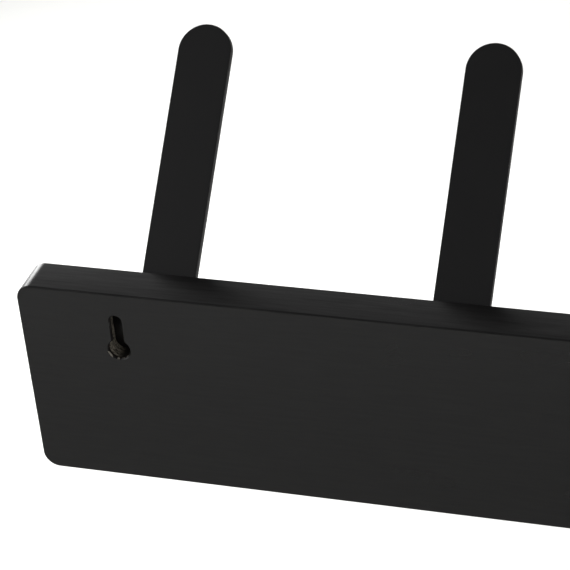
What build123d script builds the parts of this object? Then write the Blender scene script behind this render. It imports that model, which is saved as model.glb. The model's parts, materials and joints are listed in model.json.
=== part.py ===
from build123d import *
from math import cos, radians, sin, tan
import os

# Wall coat rack: a painted board with bent steel strip hooks, hung on two keyholes in its back.
# The origin is the centre of the board's back face, which lies on the wall.
# +Y points into the wall, +Z is up, and the hooks stand out towards -Y. Sizes are in millimetres.

# Board
board_length = 660.0
board_height = 100.0
board_thickness = 20.0
corner_radius = 7.5
edge_round = 0.8

# Keyholes, each routed with one cutter: a wide head that plunges in, and a narrow neck above it
keyhole_inset = 45.9
keyhole_drop = 29.3
keyhole_travel = 15.1
keyhole_head_diameter = 10.0
keyhole_neck_width = 5.4
keyhole_lip = 3.5
keyhole_pocket_depth = 5.5
keyhole_rim_bevel = 0.5

# Hooks, each one flat strip with full-round ends and one bend
hook_count = 5
hook_inset = 63.7
strip_width = 25.0
strip_thickness = 4.0
bend_inner_radius = 3.0
bend_drop = 8.0
arm_lean = 45.0
arm_length = 122.6
leg_length = 72.0

# Pan-head screws, two through each hook's leg
screw_drop = 20.0
screw_spacing = 40.0
screw_diameter = 3.5
screw_length = 14.0
screw_head_diameter = 7.0
screw_head_height = 2.2
recess_width = 4.0
recess_slot = 0.9
recess_depth = 1.4

# Clearances
shank_clearance = 0.2
pilot_clearance = 0.05
pilot_end_clearance = 0.5

# Places worked out from the sizes above
board_top = board_height / 2
board_front = Plane.XZ.offset(board_thickness)
strip_front = Plane.XZ.offset(board_thickness + strip_thickness)
hook_pitch = (board_length - 2 * hook_inset) / (hook_count - 1)
hook_places = [hook_inset - board_length / 2 + number * hook_pitch for number in range(hook_count)]
screw_heights = [board_top - screw_drop, board_top - screw_drop - screw_spacing]
shank_radius = screw_diameter / 2

os.makedirs("parts", exist_ok=True)


# Board: a rounded outline eased along both rims, with keyholes behind and pilot holes in front
keyhole_x = board_length / 2 - keyhole_inset
keyhole_entry_z = board_top - keyhole_drop
keyhole_entries = [(-keyhole_x, keyhole_entry_z), (keyhole_x, keyhole_entry_z)]
keyhole_middles = [(x, z + keyhole_travel / 2) for x, z in keyhole_entries]
pilot_depth = screw_length - strip_thickness + pilot_end_clearance

with BuildPart() as back_board:
    with BuildSketch(Plane.XZ):
        RectangleRounded(board_length, board_height, corner_radius)
    extrude(amount=board_thickness)
    fillet(back_board.faces().filter_by(Axis.Y).edges(), edge_round)

    # the cutter's neck opens the slot, and its head the entry hole below, both through the lip
    with BuildSketch(Plane.XZ):
        with Locations(*keyhole_entries):
            Circle(keyhole_head_diameter / 2)
        with Locations(*keyhole_middles):
            SlotCenterToCenter(keyhole_travel, keyhole_neck_width, rotation=90)
    extrude(amount=keyhole_lip, mode=Mode.SUBTRACT)

    # behind the lip the cutter's head leaves the wider pocket that a wall screw's head slides up
    with BuildSketch(Plane.XZ.offset(keyhole_lip)):
        with Locations(*keyhole_middles):
            SlotCenterToCenter(keyhole_travel, keyhole_head_diameter, rotation=90)
    extrude(amount=keyhole_pocket_depth, mode=Mode.SUBTRACT)

    # sanding breaks the keyholes' rims before the paint goes on
    back_face = back_board.faces().sort_by(Axis.Y)[-1]
    chamfer(back_face.inner_wires().edges(), keyhole_rim_bevel)

    # pilot holes for the hooks' screws
    with BuildSketch(board_front):
        with Locations(*[(x, z) for x in hook_places for z in screw_heights]):
            Circle(shank_radius + pilot_clearance)
    extrude(amount=-pilot_depth, mode=Mode.SUBTRACT)

back_board.part.label = "back_board"
export_step(back_board.part, "parts/back_board.step")


# Hook: the leg lies on the board's front, and the arm leaves it just below the board's top.
# The drop is measured down to where the arm's back face and the board's front, carried on, cross.
strip_end_radius = strip_width / 2
lean = radians(arm_lean)
bend_back_radius = bend_inner_radius + strip_thickness
bend_setback = bend_back_radius * tan(lean / 2)
bend_y = -board_thickness - bend_back_radius
bend_z = board_top - bend_drop - bend_setback

# each run of strip is drawn on its back face, from the bend towards its round end
leg_start = Plane(origin=(0, -board_thickness, bend_z), x_dir=(-1, 0, 0), z_dir=(0, -1, 0))
arm_start = Plane(
    origin=(0, bend_y + bend_back_radius * cos(lean), bend_z + bend_back_radius * sin(lean)),
    x_dir=(1, 0, 0),
    z_dir=(0, -cos(lean), -sin(lean)),
)
strip_runs = [(leg_start, leg_length - bend_setback), (arm_start, arm_length - bend_setback)]

with BuildPart() as hook_blank:
    for start, reach in strip_runs:
        straight = reach - strip_end_radius
        with BuildSketch(start):
            with Locations((0, straight / 2)):
                Rectangle(strip_width, straight)
            with Locations((0, straight)):
                Circle(strip_end_radius)
        extrude(amount=strip_thickness)

    # the bend is the strip's section turned from the leg to the arm
    with BuildSketch(Plane.XY.offset(bend_z)):
        with Locations((0, -board_thickness - strip_thickness / 2)):
            Rectangle(strip_width, strip_thickness)
    revolve(axis=Axis((0, bend_y, bend_z), (1, 0, 0)), revolution_arc=arm_lean)

    # screw holes through the leg
    with BuildSketch(board_front):
        with Locations(*[(0, z) for z in screw_heights]):
            Circle(shank_radius + shank_clearance)
    extrude(amount=strip_thickness, mode=Mode.SUBTRACT)

for number, x in enumerate(hook_places, start=1):
    with BuildPart() as hook:
        with Locations((x, 0, 0)):
            add(hook_blank.part)
    hook.part.label = f"hook_{number}"
    export_step(hook.part, f"parts/hook_{number}.step")


# Screw: a shank under a pan head that seats on the strip, with a cross recess for the driver
with BuildPart() as screw_blank:
    with BuildSketch(strip_front):
        Circle(screw_head_diameter / 2)
    extrude(amount=screw_head_height)
    with BuildSketch(strip_front):
        Circle(shank_radius)
    extrude(amount=-screw_length)
    with BuildSketch(strip_front.offset(screw_head_height)):
        Rectangle(recess_width, recess_slot)
        Rectangle(recess_slot, recess_width)
    extrude(amount=-recess_depth, mode=Mode.SUBTRACT)

with BuildPart() as hook_screws:
    with Locations(*[(x, 0, z) for x in hook_places for z in screw_heights]):
        add(screw_blank.part)

hook_screws.part.label = "hook_screws"
export_step(hook_screws.part, "parts/hook_screws.step")
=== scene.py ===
import json
import math

import bmesh
import bpy
import numpy as np
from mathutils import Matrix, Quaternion, Vector


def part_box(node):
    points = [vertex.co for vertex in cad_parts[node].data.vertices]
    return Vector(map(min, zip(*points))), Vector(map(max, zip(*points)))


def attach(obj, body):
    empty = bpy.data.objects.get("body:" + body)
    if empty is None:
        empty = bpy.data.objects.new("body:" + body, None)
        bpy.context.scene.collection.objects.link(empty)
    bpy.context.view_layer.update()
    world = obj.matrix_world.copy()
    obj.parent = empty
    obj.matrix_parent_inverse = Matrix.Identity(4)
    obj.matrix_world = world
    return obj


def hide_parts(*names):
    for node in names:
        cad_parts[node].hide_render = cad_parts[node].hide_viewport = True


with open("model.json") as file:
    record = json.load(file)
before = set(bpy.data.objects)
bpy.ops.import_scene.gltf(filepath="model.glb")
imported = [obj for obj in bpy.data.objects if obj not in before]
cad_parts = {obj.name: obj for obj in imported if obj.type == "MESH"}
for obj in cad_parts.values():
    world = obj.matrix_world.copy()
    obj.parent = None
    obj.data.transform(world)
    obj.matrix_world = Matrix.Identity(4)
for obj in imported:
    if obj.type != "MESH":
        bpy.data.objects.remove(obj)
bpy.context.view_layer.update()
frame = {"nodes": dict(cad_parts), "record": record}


# Back board: a plank of solid wood, cut to length with rounded corners and both rims eased with a router.
# It is sprayed all over with satin black lacquer, which leaves the grain just felt under the film.
# Two keyholes, routed into the back with a T-slot cutter, hang it on a pair of wall screws.
MM = 0.001


def box_mm(name):
    """Lowest and highest corner of a node, in millimetres."""
    return [np.array(corner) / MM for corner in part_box(name)]


board_low, board_high = box_mm("back_board")
board_centre = (board_low + board_high) / 2
board_half = (board_high - board_low) / 2
board_front_y = board_low[1]
board_back_y = board_high[1]
board_top_z = board_high[2]
corner_radius = 7.5
edge_round = 0.8
rim_flat = 0.4
corner_steps = 25
round_steps = 9


def closed_grid(rows, columns):
    """Quads of a grid of points, row by row, whose last column joins the first."""
    row, column = np.mgrid[: rows - 1, :columns]
    beside = (column + 1) % columns
    corners = [row * columns + column, row * columns + beside]
    corners += [(row + 1) * columns + beside, (row + 1) * columns + column]
    return np.stack(corners, -1).reshape(-1, 4)


def capped_tube(rings):
    """Rings of points, as ring by point by coordinate, joined by quads and closed by two flat ends."""
    count, around = rings.shape[:2]
    ends = [list(range(around)), list(range((count - 1) * around, count * around))]
    return rings.reshape(-1, 3), closed_grid(count, around).tolist() + ends


def solid(name, points, faces, material, nearness=0.002):
    """A closed mesh object in one material, from points in millimetres: points that all but coincide are
    merged, and the faces are turned outward."""
    mesh = bpy.data.meshes.new(name)
    mesh.from_pydata((points * MM).tolist(), [], faces)
    work = bmesh.new()
    work.from_mesh(mesh)
    bmesh.ops.remove_doubles(work, verts=work.verts, dist=nearness * MM)
    bmesh.ops.recalc_face_normals(work, faces=work.faces)
    work.to_mesh(mesh)
    work.free()
    mesh.materials.append(material)
    piece = bpy.data.objects.new(name, mesh)
    bpy.context.scene.collection.objects.link(piece)
    return piece


def cut_away(piece, cutter):
    """Takes the cutter's volume out of the piece for good. The cut faces get the cutter's material."""
    cut = piece.modifiers.new("cut", "BOOLEAN")
    cut.operation = "DIFFERENCE"
    cut.solver = "EXACT"
    cut.material_mode = "TRANSFER"
    cut.object = cutter
    graph = bpy.context.evaluated_depsgraph_get()
    mesh = bpy.data.meshes.new_from_object(piece.evaluated_get(graph))
    piece.modifiers.clear()
    piece.data = mesh
    bpy.data.objects.remove(cutter)


def shade(piece, crease=math.radians(28)):
    """Smooth shading, with the edges that turn by more than the crease left sharp."""
    piece.data.shade_smooth()
    piece.data.set_sharp_from_angle(angle=crease)


def linear(hex_colour):
    """An sRGB hex colour as linear red, green, blue and an alpha of one."""
    srgb = np.array([int(hex_colour[i : i + 2], 16) for i in (1, 3, 5)]) / 255
    low = srgb / 12.92
    high = ((srgb + 0.055) / 1.055) ** 2.4
    return (*np.where(srgb <= 0.04045, low, high).tolist(), 1.0)


def node(tree, kind, inputs, **settings):
    """Adds a shader node with its settings. An input that is a socket gets linked, any other value is set."""
    made = tree.nodes.new("ShaderNode" + kind)
    for name, value in settings.items():
        setattr(made, name, value)
    for name, value in inputs.items():
        if isinstance(value, bpy.types.NodeSocket):
            tree.links.new(value, made.inputs[name])
        else:
            made.inputs[name].default_value = value
    return made


def new_material(name):
    """An empty node material and its tree."""
    material = bpy.data.materials.new(name)
    material.use_nodes = True
    material.node_tree.nodes.clear()
    return material, material.node_tree


def per_mm(*sizes):
    """Mapping scale that makes one unit of noise as long as each size in millimetres."""
    return tuple(1 / (size * MM) for size in sizes)


# Satin lacquer over open-grained wood: a thin film that sinks into the pores, so that light skims along
# lengthwise streaks, plain on the planed long edges and faint on the faces. The colour is black, lighter
# along
# the streaks: partly the grain under the film, partly painted sheen in place of the film's streaky shine.
# Real pores are a third of a millimetre wide, too fine to show, so they are drawn about three times as wide.
planed_from = (board_half[2] - 1.5) * MM
planed_to = (board_half[2] - 0.5) * MM
lacquer, tree = new_material("satin_black_lacquer_on_wood")
place = node(tree, "TexCoord", {}).outputs["Object"]
pores = node(tree, "Mapping", {"Vector": place, "Scale": per_mm(45, 0.9, 0.9)}).outputs[0]
grain = node(
    tree,
    "TexNoise",
    {"Vector": pores, "Scale": 1.0, "Detail": 3.0, "Roughness": 0.6},
).outputs["Fac"]
patch = node(tree, "Mapping", {"Vector": place, "Scale": per_mm(60, 25, 25)}).outputs[0]
sheen = node(tree, "TexNoise", {"Vector": patch, "Scale": 1.0, "Detail": 2.0}).outputs["Fac"]
rays = node(tree, "Mapping", {"Vector": place, "Scale": per_mm(24, 1.7, 1.7)}).outputs[0]
streak = node(
    tree,
    "TexNoise",
    {"Vector": rays, "Scale": 1.0, "Detail": 4.0, "Roughness": 0.65},
).outputs["Fac"]
height = node(tree, "SeparateXYZ", {"Vector": place}).outputs["Z"]
reach = node(tree, "Math", {0: height}, operation="ABSOLUTE").outputs[0]
edge = node(tree, "MapRange", {"Value": reach, "From Min": planed_from, "From Max": planed_to}).outputs[0]
dull = node(tree, "MapRange", {"Value": edge, "To Min": 0.485, "To Max": 0.38}).outputs[0]
bright = node(tree, "MapRange", {"Value": edge, "To Min": 0.515, "To Max": 0.62}).outputs[0]
shine = node(
    tree,
    "MapRange",
    {"Value": streak, "From Min": 0.3, "From Max": 0.7, "To Min": dull, "To Max": bright},
)
# painted sheen: the colour turns lighter along the lengthwise streaks, partly grain and partly sheen
grain_and_painted_sheen = node(
    tree,
    "Mix",
    {"Factor": streak, "A": linear("#111011"), "B": linear("#201f1f")},
    data_type="RGBA",
)
gloss = node(tree, "MapRange", {"Value": sheen, "To Min": 0.25, "To Max": 0.32})
relief = node(tree, "Bump", {"Height": grain, "Strength": 0.35, "Distance": 0.04 * MM})
surface = node(
    tree,
    "BsdfPrincipled",
    {
        "Base Color": grain_and_painted_sheen.outputs["Result"],
        "Roughness": gloss.outputs[0],
        "IOR": 1.5,
        "Specular IOR Level": shine.outputs[0],
        "Normal": relief.outputs[0],
    },
)
node(tree, "OutputMaterial", {"Surface": surface.outputs[0]})

# Routed wood: pale, dull, flecked fibres, bare on the keyhole's outer side. Its inner side, towards the
# board's middle, is painted dark as shade, and the first two millimetres below the mouth are painted darker
# as shade.
# Real fibres are too fine to show, so they are drawn as bundles of a millimetre.
keyholes = next(mount for mount in frame["record"]["mounts"] if mount["name"] == "keyholes")
keyhole_x = keyholes["dims"]["spacing_x_mm"] / 2
inner_shade_full = (keyhole_x - 1.0) * MM
inner_shade_end = (keyhole_x + 5.5) * MM
mouth_shade_end = (board_back_y - 2.0) * MM
mouth_shade_full = (board_back_y - 1.3) * MM
routed_wood_shaded, tree = new_material("routed_wood_painted_shade")
place = node(tree, "TexCoord", {}).outputs["Object"]
fibres = node(tree, "Mapping", {"Vector": place, "Scale": per_mm(3.0, 1.0, 1.0)}).outputs[0]
grain = node(
    tree,
    "TexNoise",
    {"Vector": fibres, "Scale": 1.0, "Detail": 4.0, "Roughness": 0.7},
).outputs["Fac"]
flecks = node(tree, "MapRange", {"Value": grain, "From Min": 0.36, "From Max": 0.64}).outputs[0]
bare = node(
    tree,
    "Mix",
    {"Factor": flecks, "A": linear("#2b2720"), "B": linear("#e6dcc8")},
    data_type="RGBA",
)
spot = node(tree, "SeparateXYZ", {"Vector": place}).outputs
outward_x = node(tree, "Math", {0: spot["X"]}, operation="ABSOLUTE").outputs[0]
# painted shade: the wood turns dark towards the board's middle
clear = node(
    tree,
    "MapRange",
    {"Value": outward_x, "From Min": inner_shade_full, "From Max": inner_shade_end},
    interpolation_type="SMOOTHSTEP",
)
inner_shaded = node(
    tree,
    "Mix",
    {"Factor": clear.outputs[0], "A": linear("#14110d"), "B": bare.outputs["Result"]},
    data_type="RGBA",
)
# painted shade: the first two millimetres below the mouth turn dark brown
mouth_shade = node(tree, "MapRange", {"Value": spot["Y"], "From Min": mouth_shade_end, "From Max": mouth_shade_full})
tone = node(
    tree,
    "Mix",
    {"Factor": mouth_shade.outputs[0], "A": inner_shaded.outputs["Result"], "B": linear("#1a0f0a")},
    data_type="RGBA",
)
relief = node(tree, "Bump", {"Height": grain, "Strength": 0.6, "Distance": 0.15 * MM})
surface = node(
    tree,
    "BsdfPrincipled",
    {"Base Color": tone.outputs["Result"], "Roughness": 0.8, "Normal": relief.outputs[0]},
)
node(tree, "OutputMaterial", {"Surface": surface.outputs[0]})

# Rim: a thin, dull, broken brown-black line of painted shade round the outer side of the keyhole's mouth.
# On the inner side the rim is black and glossy, like the lacquered face.
rim_shade_from = (keyhole_x - 0.5) * MM
rim_shade_to = (keyhole_x + 0.5) * MM
rim_with_painted_shade, tree = new_material("rim_painted_shade_line")
place = node(tree, "TexCoord", {}).outputs["Object"]
scaled = node(tree, "Mapping", {"Vector": place, "Scale": per_mm(2.0, 2.0, 4.0)}).outputs[0]
patchy = node(tree, "TexNoise", {"Vector": scaled, "Scale": 1.0, "Detail": 2.0}).outputs["Fac"]
spot = node(tree, "SeparateXYZ", {"Vector": place}).outputs
outward_x = node(tree, "Math", {0: spot["X"]}, operation="ABSOLUTE").outputs[0]
outer = node(
    tree,
    "MapRange",
    {"Value": outward_x, "From Min": rim_shade_from, "From Max": rim_shade_to},
).outputs[0]
broken_line = node(tree, "MapRange", {"Value": patchy, "From Min": 0.36, "From Max": 0.44}).outputs[0]
# painted shade: darker on the outer side, in broken patches
rim_shade_line = node(tree, "Math", {0: outer, 1: broken_line}, operation="MULTIPLY").outputs[0]
tone = node(
    tree,
    "Mix",
    {"Factor": rim_shade_line, "A": linear("#191818"), "B": linear("#0d0906")},
    data_type="RGBA",
)
gloss = node(tree, "MapRange", {"Value": rim_shade_line, "To Min": 0.3, "To Max": 0.85})
surface = node(
    tree,
    "BsdfPrincipled",
    {"Base Color": tone.outputs["Result"], "Roughness": gloss.outputs[0], "IOR": 1.5},
)
node(tree, "OutputMaterial", {"Surface": surface.outputs[0]})

# Torn wood: the palest spots, dull and stringy, where the cutter lifted splinters out of the rim.
torn_wood, tree = new_material("torn_pale_wood")
place = node(tree, "TexCoord", {}).outputs["Object"]
scaled = node(tree, "Mapping", {"Vector": place, "Scale": per_mm(0.8, 0.2, 0.2)}).outputs[0]
grain = node(tree, "TexNoise", {"Vector": scaled, "Scale": 1.0, "Detail": 3.0}).outputs["Fac"]
tone = node(
    tree,
    "Mix",
    {"Factor": grain, "A": linear("#87837b"), "B": linear("#cfcabf")},
    data_type="RGBA",
)
surface = node(
    tree,
    "BsdfPrincipled",
    {"Base Color": tone.outputs["Result"], "Roughness": 0.85, "Specular IOR Level": 0.2},
)
node(tree, "OutputMaterial", {"Surface": surface.outputs[0]})


def rounded_rectangle(half_x, half_z, radius, steps):
    """Points and outward normals round a rounded rectangle: each corner's centre plus a radius that turns
    through a quarter circle, corner after corner."""
    quarter = np.linspace(0, math.pi / 2, steps)
    angle = (np.arange(4)[:, None] * math.pi / 2 + quarter).ravel()
    normal = np.stack([np.cos(angle), np.sin(angle)], -1)
    signs = np.repeat(np.array([[1, 1], [-1, 1], [-1, -1], [1, -1]]), steps, 0)
    return signs * (half_x - radius, half_z - radius) + radius * normal, normal


def eased_edge(thickness, radius, steps, flat):
    """Section of a slab's edge, from its back to its front: how far each point lies in from the outline and
    how deep. A narrow flat, a quarter round, the straight side, a quarter round and a narrow flat."""
    turn = np.linspace(0, math.pi / 2, steps)
    inset = np.concatenate([[radius + flat], radius * (1 - np.sin(turn))])
    depth = np.concatenate([[0.0], radius * (1 - np.cos(turn))])
    return np.concatenate([inset, inset[::-1]]), np.concatenate([depth, thickness - depth[::-1]])


outline, outward = rounded_rectangle(board_half[0], board_half[2], corner_radius, corner_steps)
inset, depth = eased_edge(2 * board_half[1], edge_round, round_steps, rim_flat)
across = outline + board_centre[[0, 2]] - inset[:, None, None] * outward
along_y = np.broadcast_to(board_back_y - depth[:, None], across.shape[:2])
board_rings = np.stack([across[..., 0], along_y, across[..., 1]], -1)
board = solid("lacquered_board", *capped_tube(board_rings), lacquer)

# the keyholes: a neck and an entry hole through the lip, and the wider pocket behind it
keyhole_z = keyholes["pos_m"][2] / MM
keyhole_head_radius = keyholes["dims"]["hole_r_mm"]
keyhole_travel = 15.1
keyhole_neck_half = 2.7
keyhole_lip = 3.5
keyhole_pocket_depth = 5.5
keyhole_rim_bevel = 0.5
keyhole_steps = 40


def keyhole_ring(grow, y):
    """Outline of a keyhole grown by a margin, at one depth: the head's arc from one side of the neck round
    below to the other, then the neck's half circle at the top."""
    head = keyhole_head_radius + grow
    neck = keyhole_neck_half + grow
    shoulder = math.asin(neck / head)
    arc = np.linspace(shoulder, 2 * math.pi - shoulder, 2 * keyhole_steps)
    cap = np.linspace(-math.pi / 2, math.pi / 2, keyhole_steps)
    x = np.concatenate([head * np.sin(arc), neck * np.sin(cap)])
    z = np.concatenate([head * np.cos(arc), keyhole_travel + neck * np.cos(cap)])
    return np.stack([x, np.full_like(x, y), z], -1)


def pocket_ring(y):
    """Outline of the pocket at one depth: a slot of the cutter head's radius from the entry to the top."""
    cap = np.linspace(-math.pi / 2, math.pi / 2, keyhole_steps)
    x = keyhole_head_radius * np.concatenate([np.sin(cap), -np.sin(cap)])
    z = keyhole_head_radius * np.concatenate([np.cos(cap), -np.cos(cap)])
    z[:keyhole_steps] += keyhole_travel
    return np.stack([x, np.full_like(x, y), z], -1)


# a cutter stands proud of the face it enters, and each cut overlaps the one before it
proud = 0.5
overlap = 0.01
# the pocket's floor is cut last and finished in the black lacquer: painted shade at the bottom of the pocket
floor_shade_skin = 0.2
pocket_end = -keyhole_lip - keyhole_pocket_depth
floor_shade_top = pocket_end + floor_shade_skin
rim = np.stack([keyhole_ring(keyhole_rim_bevel + proud, proud), keyhole_ring(0.0, -keyhole_rim_bevel)])
mouth = np.stack([keyhole_ring(0.0, -keyhole_rim_bevel + overlap), keyhole_ring(0.0, -keyhole_lip - proud)])
pocket = np.stack([pocket_ring(-keyhole_lip), pocket_ring(floor_shade_top)])
bottom = np.stack([pocket_ring(floor_shade_top + overlap), pocket_ring(pocket_end)])
cuts = [
    ("rim", rim, rim_with_painted_shade),
    ("mouth", mouth, routed_wood_shaded),
    ("pocket", pocket, routed_wood_shaded),
    ("bottom", bottom, lacquer),
]
for side in (-1, 1):
    for name, rings, finish in cuts:
        placed = rings + (side * keyhole_x, board_back_y, keyhole_z)
        cut_away(board, solid(name, *capped_tube(placed), finish))

# splinters torn from the lower rim of one keyhole: the angle round its entry in degrees, the radius, the
# depth, and the half sizes along, across and deep
pole_gap = 0.12
scoop_rows = 13
scoop_columns = 16
splinters = [
    (-33, 5.4, -0.1, (1.9, 0.4, 0.45)),
    (-79, 5.15, -0.4, (0.6, 0.4, 0.5)),
    (-103, 5.1, -0.9, (1.6, 0.2, 0.25)),
    (-127, 5.1, -1.2, (0.7, 0.35, 0.6)),
]


def scoop_rings(degrees, radius, depth, half_sizes):
    """An ellipsoid beside the entry's rim: a ring turns about its long axis, and swells and shrinks along it
    from pole to pole."""
    turn = math.radians(degrees)
    along, across, deep = half_sizes
    polar = np.linspace(pole_gap, math.pi - pole_gap, scoop_rows)[:, None]
    around = np.linspace(0, 2 * math.pi, scoop_columns, endpoint=False)
    s = along * np.cos(polar) + 0 * around
    r = radius + across * np.sin(polar) * np.cos(around)
    y = depth + deep * np.sin(polar) * np.sin(around)
    x = r * math.cos(turn) - s * math.sin(turn)
    z = r * math.sin(turn) + s * math.cos(turn)
    return np.stack([x, y, z], -1)


for splinter in splinters:
    placed = scoop_rings(*splinter) + (keyhole_x, board_back_y, keyhole_z)
    cut_away(board, solid("scoop", *capped_tube(placed), torn_wood))

# pilot holes for the hooks' screws, drilled into the front where each leg lies
hook_nodes = sorted(name for name in frame["nodes"] if name.startswith("hook_") and name != "hook_screws")
hook_places = [(low[0] + high[0]) / 2 for low, high in map(box_mm, hook_nodes)]
screw_drop = 20.0
screw_spacing = 40.0
screw_heights = (board_top_z - screw_drop, board_top_z - screw_drop - screw_spacing)
screw_tip_y = box_mm("hook_screws")[1][1]
screw_shank_radius = 1.75
pilot_clearance = 0.05
pilot_end_clearance = 0.5
hole_steps = 32


def rod_rings(x, z, radius, y_from, y_to):
    """Two circles across the board's depth, the ends of a round rod. Their points stand half a step off the
    rod's centre line, so that a cut leaves no slivers there."""
    angle = (np.arange(hole_steps) + 0.5) * 2 * math.pi / hole_steps
    circle = np.stack([x + radius * np.cos(angle), 0 * angle, z + radius * np.sin(angle)], -1)
    return np.stack([circle + (0, y_from, 0), circle + (0, y_to, 0)])


pilot_radius = screw_shank_radius + pilot_clearance
pilot_ends = (board_front_y - proud, screw_tip_y + pilot_end_clearance)
for hook_x in hook_places:
    for screw_z in screw_heights:
        pilot = rod_rings(hook_x, screw_z, pilot_radius, *pilot_ends)
        cut_away(board, solid("pilot_hole", *capped_tube(pilot), routed_wood_shaded))

shade(board)
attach(board, "root")
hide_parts("back_board")


# Strip hooks: flat mild-steel strip with both ends cut to a full round, bent once by 45 degrees.
# The leg is screwed to the board's front, and the arm leaves it just below the board's top.
# The strip is tumbled, so that its edges are just broken, and powder coated in fine satin black.
strip_thickness = 4.0
strip_edge_round = 0.35
strip_flat = 0.3
strip_round_steps = 5
bend_inner_radius = 3.0
bend_drop = 8.0
arm_lean = math.radians(45)
shank_clearance = 0.2
tip_steps = 33
bend_steps = 13

# Powder coat: melted grains level out to a faint orange peel, an even black with a soft, broken sheen.
powder_coat, tree = new_material("black_powder_coated_steel")
place = node(tree, "TexCoord", {}).outputs["Object"]
peel_scale = node(tree, "Mapping", {"Vector": place, "Scale": per_mm(0.7, 0.7, 0.7)}).outputs[0]
peel = node(tree, "TexNoise", {"Vector": peel_scale, "Scale": 1.0, "Detail": 2.0}).outputs["Fac"]
cloud_scale = node(tree, "Mapping", {"Vector": place, "Scale": per_mm(18, 18, 18)}).outputs[0]
cloud = node(tree, "TexNoise", {"Vector": cloud_scale, "Scale": 1.0, "Detail": 3.0}).outputs["Fac"]
coat = node(
    tree,
    "Mix",
    {"Factor": cloud, "A": linear("#111012"), "B": linear("#171617")},
    data_type="RGBA",
)
gloss = node(tree, "MapRange", {"Value": cloud, "To Min": 0.38, "To Max": 0.50})
relief = node(tree, "Bump", {"Height": peel, "Strength": 0.25, "Distance": 0.03 * MM})
surface = node(
    tree,
    "BsdfPrincipled",
    {
        "Base Color": coat.outputs["Result"],
        "Roughness": gloss.outputs[0],
        "IOR": 1.5,
        "Normal": relief.outputs[0],
    },
)
node(tree, "OutputMaterial", {"Surface": surface.outputs[0]})


def strip_mesh(low, high):
    """A strip hook between the corners of its node. First the flat strip: at each step round its outline, a
    point of the centre line plus the half width less an inset along the outward normal, with the section's
    height across. Then the bend: the length along the strip runs up the leg, round the bend and up the
    arm."""
    half_width = (high[0] - low[0]) / 2
    neutral = bend_inner_radius + strip_thickness / 2
    back_radius = bend_inner_radius + strip_thickness
    bend_y = board_front_y - back_radius
    bend_z = board_top_z - bend_drop - back_radius * math.tan(arm_lean / 2)
    leg = bend_z - low[2]
    turned = leg + neutral * arm_lean
    arm = (high[2] - bend_z - back_radius * math.sin(arm_lean)) / math.cos(arm_lean)

    # outline of the flat strip: round tip of the arm, one side down, round end of the leg, other side up
    tip = np.linspace(0, math.pi, tip_steps)
    side = np.linspace(leg, turned, bend_steps)
    ones = np.ones_like(side)
    centre = np.concatenate([0 * tip + turned + arm - half_width, side[::-1], 0 * tip + half_width, side])
    normal_x = np.concatenate([np.cos(tip), -ones, -np.cos(tip), ones])
    normal_s = np.concatenate([np.sin(tip), 0 * ones, -np.sin(tip), 0 * ones])

    inset, depth = eased_edge(strip_thickness, strip_edge_round, strip_round_steps, strip_flat)
    inset = np.concatenate([[half_width], inset, [half_width]])[:, None]
    depth = np.concatenate([depth[:1], depth, depth[-1:]])[:, None]
    x = (half_width - inset) * normal_x
    along = centre + (half_width - inset) * normal_s
    radius = back_radius - depth

    turn = np.clip((along - leg) / neutral, 0, arm_lean)
    down_leg = np.minimum(along - leg, 0)
    up_arm = np.maximum(along - turned, 0)
    y = bend_y + radius * np.cos(turn) - up_arm * math.sin(arm_lean)
    z = bend_z + radius * np.sin(turn) + down_leg + up_arm * math.cos(arm_lean)
    points = np.stack([(low[0] + high[0]) / 2 + x, y, z], -1)
    return points.reshape(-1, 3), closed_grid(*points.shape[:2]).tolist()


hole_radius = screw_shank_radius + shank_clearance
hole_ends = (board_front_y + proud, board_front_y - strip_thickness - proud)
for name, hook_x in zip(hook_nodes, hook_places):
    hook = solid("strip_" + name, *strip_mesh(*box_mm(name)), powder_coat)
    for screw_z in screw_heights:
        hole = rod_rings(hook_x, screw_z, hole_radius, *hole_ends)
        cut_away(hook, solid("screw_hole", *capped_tube(hole), powder_coat))
    shade(hook)
    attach(hook, "root")
    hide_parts(name)


# Screws: pan-head wood screws of rolled steel, two through each leg, with a pressed cross recess.
# They are blackened to match the strips and driven into the board until the heads seat on the legs.
screw_head_radius = 3.5
screw_head_height = 2.2
screw_root_radius = 1.25
screw_pitch = 1.4
screw_plain_length = 1.9
screw_point_length = 2.6
recess_width = 4.0
recess_slot = 0.9
recess_depth = 1.4
recess_taper = 0.62
seat_y = board_front_y - strip_thickness
screw_length = screw_tip_y - seat_y
screw_columns = 40
dome_rows = 15
dome_width_power = 0.6
dome_height_power = 0.7
rows_per_turn = 8
ridge_half = 0.25

# Blackened steel: an oiled oxide skin, so the heads read as small dark domes with a worn, mottled shine.
blackened, tree = new_material("blackened_steel_screw")
place = node(tree, "TexCoord", {}).outputs["Object"]
fine = node(tree, "Mapping", {"Vector": place, "Scale": per_mm(0.6, 0.6, 0.6)}).outputs[0]
mottle = node(tree, "TexNoise", {"Vector": fine, "Scale": 1.0, "Detail": 3.0}).outputs["Fac"]
skin = node(
    tree,
    "Mix",
    {"Factor": mottle, "A": linear("#161617"), "B": linear("#242323")},
    data_type="RGBA",
)
gloss = node(tree, "MapRange", {"Value": mottle, "To Min": 0.28, "To Max": 0.44})
surface = node(
    tree,
    "BsdfPrincipled",
    {"Base Color": skin.outputs["Result"], "Roughness": gloss.outputs[0], "IOR": 1.5},
)
node(tree, "OutputMaterial", {"Surface": surface.outputs[0]})


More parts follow.
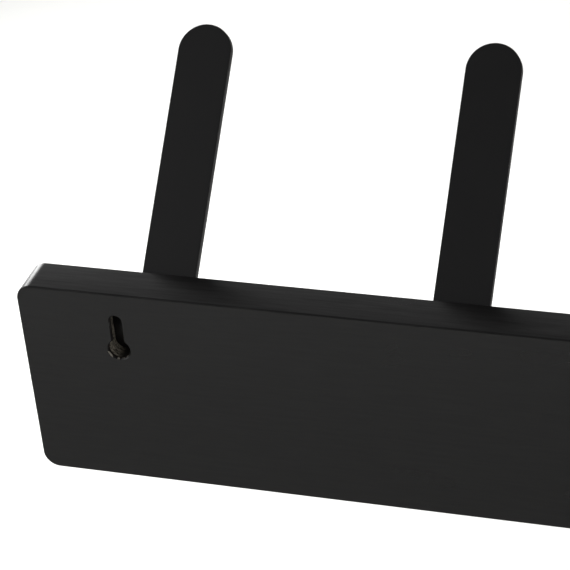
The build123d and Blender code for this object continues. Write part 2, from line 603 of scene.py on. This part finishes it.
def screw_grid():
    """A screw turned about its axis: rows run over the domed head, a superellipse, in under it to the plain
    neck, and down the shank, whose radius rises to a ridge once per pitch, one turn on for each turn round.
    The shank runs out to a point."""
    angle = np.linspace(0, 2 * math.pi, screw_columns, endpoint=False)
    swell = np.linspace(math.pi / 2, 0, dome_rows)[:, None]
    dome_r = screw_head_radius * np.cos(swell) ** dome_width_power + 0 * angle
    dome_y = screw_head_height * np.sin(swell) ** dome_height_power + 0 * angle

    thread_rows = np.arange(screw_plain_length, screw_length, screw_pitch / rows_per_turn)
    down = np.concatenate([[0], thread_rows, [screw_length]])[:, None]
    turn = (down - screw_plain_length) / screw_pitch - angle / (2 * math.pi)
    ridge = np.clip(1 - np.abs(turn % 1 - 0.5) / ridge_half, 0, 1)
    rise = np.clip((down - screw_plain_length) / screw_pitch, 0, 1)
    shank_r = screw_root_radius + (screw_shank_radius - screw_root_radius) * ridge * rise
    shank_r = shank_r * np.clip((screw_length - down) / screw_point_length, 0, 1)

    r = np.concatenate([dome_r, shank_r])
    y = np.concatenate([dome_y, -down + 0 * angle])
    return np.stack([r * np.cos(angle), -y, r * np.sin(angle)], -1)


def cross_ring(scale, y):
    """Outline of the cross recess at one depth: a square of the slot's width with an arm on each side."""
    long = scale * recess_width / 2
    short = recess_slot / 2
    arm = np.array([[short, long], [-short, long], [-short, short]])
    quarter = np.arange(4) * math.pi / 2
    turn = np.stack([[np.cos(quarter), -np.sin(quarter)], [np.sin(quarter), np.cos(quarter)]])
    outline = np.einsum("ijk,pj->kpi", turn, arm).reshape(-1, 2)
    return np.stack([outline[:, 0], np.full(len(outline), y), outline[:, 1]], -1)


def repeated(points, faces, places):
    """The same mesh at each place: points shifted by the place, and faces counted on from copy to copy."""
    shifted = points + places[:, None]
    count = len(points)
    copies = [[i + copy * count for i in face] for copy in range(len(places)) for face in faces]
    return shifted.reshape(-1, 3), copies


screw_places = np.array([[hook_x, seat_y, screw_z] for hook_x in hook_places for screw_z in screw_heights])
blank = screw_grid()
blank_faces = closed_grid(*blank.shape[:2]).tolist()
screws = solid("pan_head_screws", *repeated(blank.reshape(-1, 3), blank_faces, screw_places), blackened)
recess = np.stack(
    [
        cross_ring(1.0, -screw_head_height - proud),
        cross_ring(1.0, -screw_head_height),
        cross_ring(recess_taper, -screw_head_height + recess_depth),
    ]
)
cut_away(screws, solid("recess", *repeated(*capped_tube(recess), screw_places), blackened))
shade(screws)
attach(screws, "root")
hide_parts("hook_screws")


# Stage: a sweep of pale paper, its floor a metre below the rack.
# Its edge curves up to a low wall all round, as a paper roll does at the back of a studio.
floor_drop = 1000.0
sweep_radius = 4000.0
sweep_curve = 600.0
sweep_height = 1500.0
sweep_columns = 96
curve_rows = 13

# Matt paper: a faintly clouded white that scatters the light evenly, without a sheen.
paper, tree = new_material("matt_white_sweep")
place = node(tree, "TexCoord", {}).outputs["Object"]
soft = node(tree, "Mapping", {"Vector": place, "Scale": per_mm(400, 400, 400)}).outputs[0]
cloud = node(tree, "TexNoise", {"Vector": soft, "Scale": 1.0, "Detail": 2.0}).outputs["Fac"]
pale = node(
    tree,
    "Mix",
    {"Factor": cloud, "A": linear("#eeeeec"), "B": linear("#f2f2f0")},
    data_type="RGBA",
)
surface = node(tree, "BsdfPrincipled", {"Base Color": pale.outputs["Result"], "Roughness": 0.9})
node(tree, "OutputMaterial", {"Surface": surface.outputs[0]})


def sweep_mesh():
    """A shallow round tray: rings of growing radius on the floor, a quarter round and a straight wall."""
    angle = np.linspace(0, 2 * math.pi, sweep_columns, endpoint=False)
    turn = np.linspace(0, math.pi / 2, curve_rows)
    curve_r = sweep_radius + sweep_curve * (np.sin(turn) - 1)
    curve_z = sweep_curve * (1 - np.cos(turn))
    r = np.concatenate([[0, sweep_radius / 2], curve_r, [sweep_radius]])[:, None]
    z = np.concatenate([[0, 0], curve_z, [sweep_height]])[:, None]
    points = np.stack([r * np.cos(angle), r * np.sin(angle), z - floor_drop + 0 * angle], -1)
    return points.reshape(-1, 3), closed_grid(len(r), sweep_columns)[:, ::-1].tolist()


sweep = solid("pale_sweep", *sweep_mesh(), paper)
shade(sweep)


# Light: dim, even light all round. Lamps close over the floor turn it white without touching the rack, and
# softboxes and panels round the rack lay soft highlights on its end, corner and top. A low reflector and a
# fill lift the back. Places and sizes are in metres, powers in watts.
floor_lamp_z = -0.2
floor_lamp_spread = 110
floor_z = -floor_drop * MM
hair = 0.001


def soft_lamp(name, place, aim, size, power, spread=180, tilt=0):
    """A rectangular lamp at a place, turned to face a point. Its beam's spread and its tilt about the line to
    that point are in degrees."""
    lamp = bpy.data.lights.new(name, "AREA")
    lamp.shape = "RECTANGLE"
    lamp.size, lamp.size_y = size
    lamp.energy = power
    lamp.spread = math.radians(spread)
    stand = bpy.data.objects.new(name, lamp)
    stand.location = place
    facing = (Vector(aim) - Vector(place)).to_track_quat("-Z", "Y")
    stand.rotation_mode = "QUATERNION"
    stand.rotation_quaternion = facing @ Quaternion((0, 0, 1), math.radians(tilt))
    stand.visible_camera = False
    bpy.context.scene.collection.objects.link(stand)


def floor_lamp(name, x, y, size, power):
    """A soft lamp close over the floor that faces straight down. Its aim lies a hair to one side, which
    settles which way round it hangs."""
    soft_lamp(name, (x, y, floor_lamp_z), (x, y - hair, floor_z), size, power, spread=floor_lamp_spread)


floor_lamp("sweep_lamp", 0.92, -1.98, (2.25, 2.85), 16.6)
soft_lamp("corner_softbox", (1.71, -1.90, 0.29), (0.33, -0.01, 0.05), (0.6, 1.5), 17.5, tilt=-34)
soft_lamp("corner_card", (1.60, -2.00, -0.47), (0.33, -0.01, 0.05), (0.65, 0.5), 1.3)
soft_lamp("top_panel", (1.05, -2.00, 1.26), (0.2, 0.0, 0.05), (1.34, 1.06), 0.73)
soft_lamp("end_softbox", (2.6, 0.4, 0.9), (0.2, 0.0, 0.05), (1.6, 1.6), 8)
soft_lamp("ceiling_panel", (1.5, 1.1, 1.4), (0.25, 0.0, 0.05), (1.0, 1.0), 2.1)
soft_lamp("low_reflector", (0.37, 0.7, -0.30), (0.2, 0.0, 0.0), (0.75, 0.25), 0.14)
soft_lamp("front_softbox", (1.0, -1.75, -0.5), (0.0, 0.0, 0.0), (1.4, 0.9), 5.0)
floor_lamp("back_floor_lamp", 1.0, 2.2, (2.4, 1.6), 2.4)
floor_lamp("end_floor_lamp", 2.7, 0.3, (1.6, 3.0), 6.0)
floor_lamp("far_floor_lamp", -2.3, 0.6, (2.2, 3.4), 9.0)
soft_lamp("back_fill", (-0.75, 1.30, 1.20), (0.28, 0.0, 0.03), (0.8, 0.8), 2.2)

world = bpy.data.worlds.new("studio")
world.use_nodes = True
bpy.context.scene.world = world
air = world.node_tree.nodes["Background"]
air.inputs["Color"].default_value = linear("#ffffff")
air.inputs["Strength"].default_value = 0.16
bpy.context.scene.view_settings.view_transform = "Standard"


# Camera: behind the rack and above it, near its middle.
# It is turned a little about its own line of sight, so that the board falls to the right.
view_azimuth = math.radians(200.232)
view_elevation = math.radians(33.043)
view_roll = math.radians(-5.822)
view_aim = Vector((203.10, 0.0, 64.10)) * MM
view_distance = 1023.93 * MM

camera_data = bpy.data.cameras.new("camera")
camera_data.lens = 152.713
camera_data.sensor_width = 36.0
camera_data.clip_start = 0.01
camera = bpy.data.objects.new("camera", camera_data)
backward = Vector(
    (
        math.sin(view_azimuth) * math.cos(view_elevation),
        -math.cos(view_azimuth) * math.cos(view_elevation),
        math.sin(view_elevation),
    )
)
camera.location = view_aim + backward * view_distance
camera.rotation_mode = "QUATERNION"
camera.rotation_quaternion = (-backward).to_track_quat("-Z", "Y") @ Quaternion((0, 0, 1), view_roll)
bpy.context.scene.collection.objects.link(camera)
bpy.context.scene.camera = camera


bpy.context.view_layer.update()
